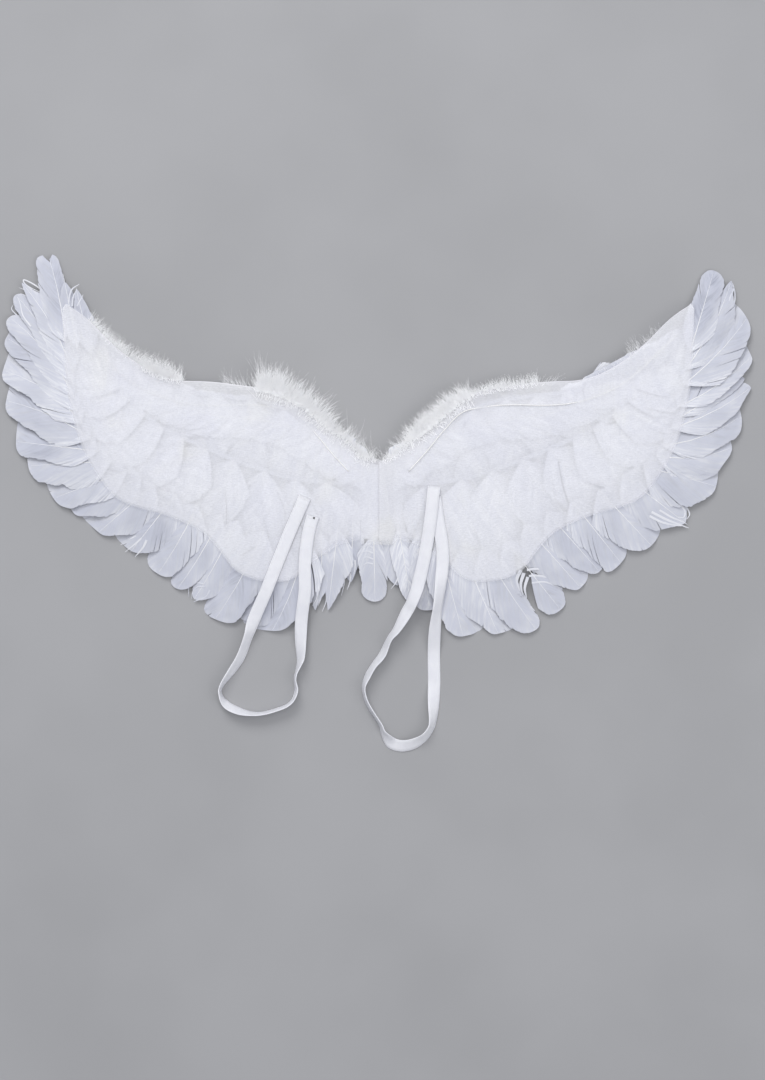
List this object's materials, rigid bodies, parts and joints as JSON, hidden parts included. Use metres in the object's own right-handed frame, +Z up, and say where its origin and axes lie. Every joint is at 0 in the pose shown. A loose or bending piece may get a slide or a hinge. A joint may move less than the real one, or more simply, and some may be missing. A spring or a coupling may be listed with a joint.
{
  "type": "costume angel wings",
  "caption": "White feather costume wings on sheer cloth backings joined by a centre seam, with layered feathers, fluffy down along the top edge and elastic shoulder loops, lying face down.",
  "frame": {"origin": "on the floor under the middle of the overall box, which is the middle of the centre seam within 2 mm", "axes": "+X towards the right wing's tip, +Y towards the top of the wings, +Z up, out of the wearer's side of the cloth"},
  "size_m": [0.7534, 0.4977, 0.0204],
  "materials": {
    "backing_cloth": "sheer white nonwoven cloth",
    "feather": "white feather vane, slightly translucent",
    "elastic": "woven white half-inch elastic",
    "down": "fluffy white down",
    "edge_wire": "thin white covered wire"
  },
  "bodies": {
    "root": {"left_backing": "backing_cloth", "left_edge_wire": "edge_wire", "left_strap": "elastic", "left_middle_feathers": "feather", "left_upper_feathers": "feather", "left_primary_01": "feather", "left_primary_02": "feather", "left_primary_03": "feather", "left_primary_04": "feather", "left_primary_05": "feather", "left_primary_06": "feather", "left_primary_07": "feather", "left_primary_08": "feather", "left_primary_09": "feather", "left_primary_10": "feather", "left_primary_11": "feather", "left_primary_12": "feather", "left_primary_13": "feather", "left_primary_14": "feather", "left_primary_15": "feather", "left_primary_16": "feather", "left_primary_17": "feather", "left_primary_18": "feather", "left_primary_19": "feather", "left_primary_20": "feather", "left_primary_21": "feather", "left_primary_22": "feather", "left_primary_23": "feather", "left_primary_24": "feather", "right_backing": "backing_cloth", "right_edge_wire": "edge_wire", "right_strap": "elastic", "right_middle_feathers": "feather", "right_upper_feathers": "feather", "right_primary_01": "feather", "right_primary_02": "feather", "right_primary_03": "feather", "right_primary_04": "feather", "right_primary_05": "feather", "right_primary_06": "feather", "right_primary_07": "feather", "right_primary_08": "feather", "right_primary_09": "feather", "right_primary_10": "feather", "right_primary_11": "feather", "right_primary_12": "feather", "right_primary_13": "feather", "right_primary_14": "feather", "right_primary_15": "feather", "right_primary_16": "feather", "right_primary_17": "feather", "right_primary_18": "feather", "right_primary_19": "feather", "right_primary_20": "feather", "right_primary_21": "feather", "left_down_inner": "down", "left_down_outer": "down", "right_down_inner": "down", "right_down_outer": "down", "centre_feather": "feather"}
  },
  "joints": []
}
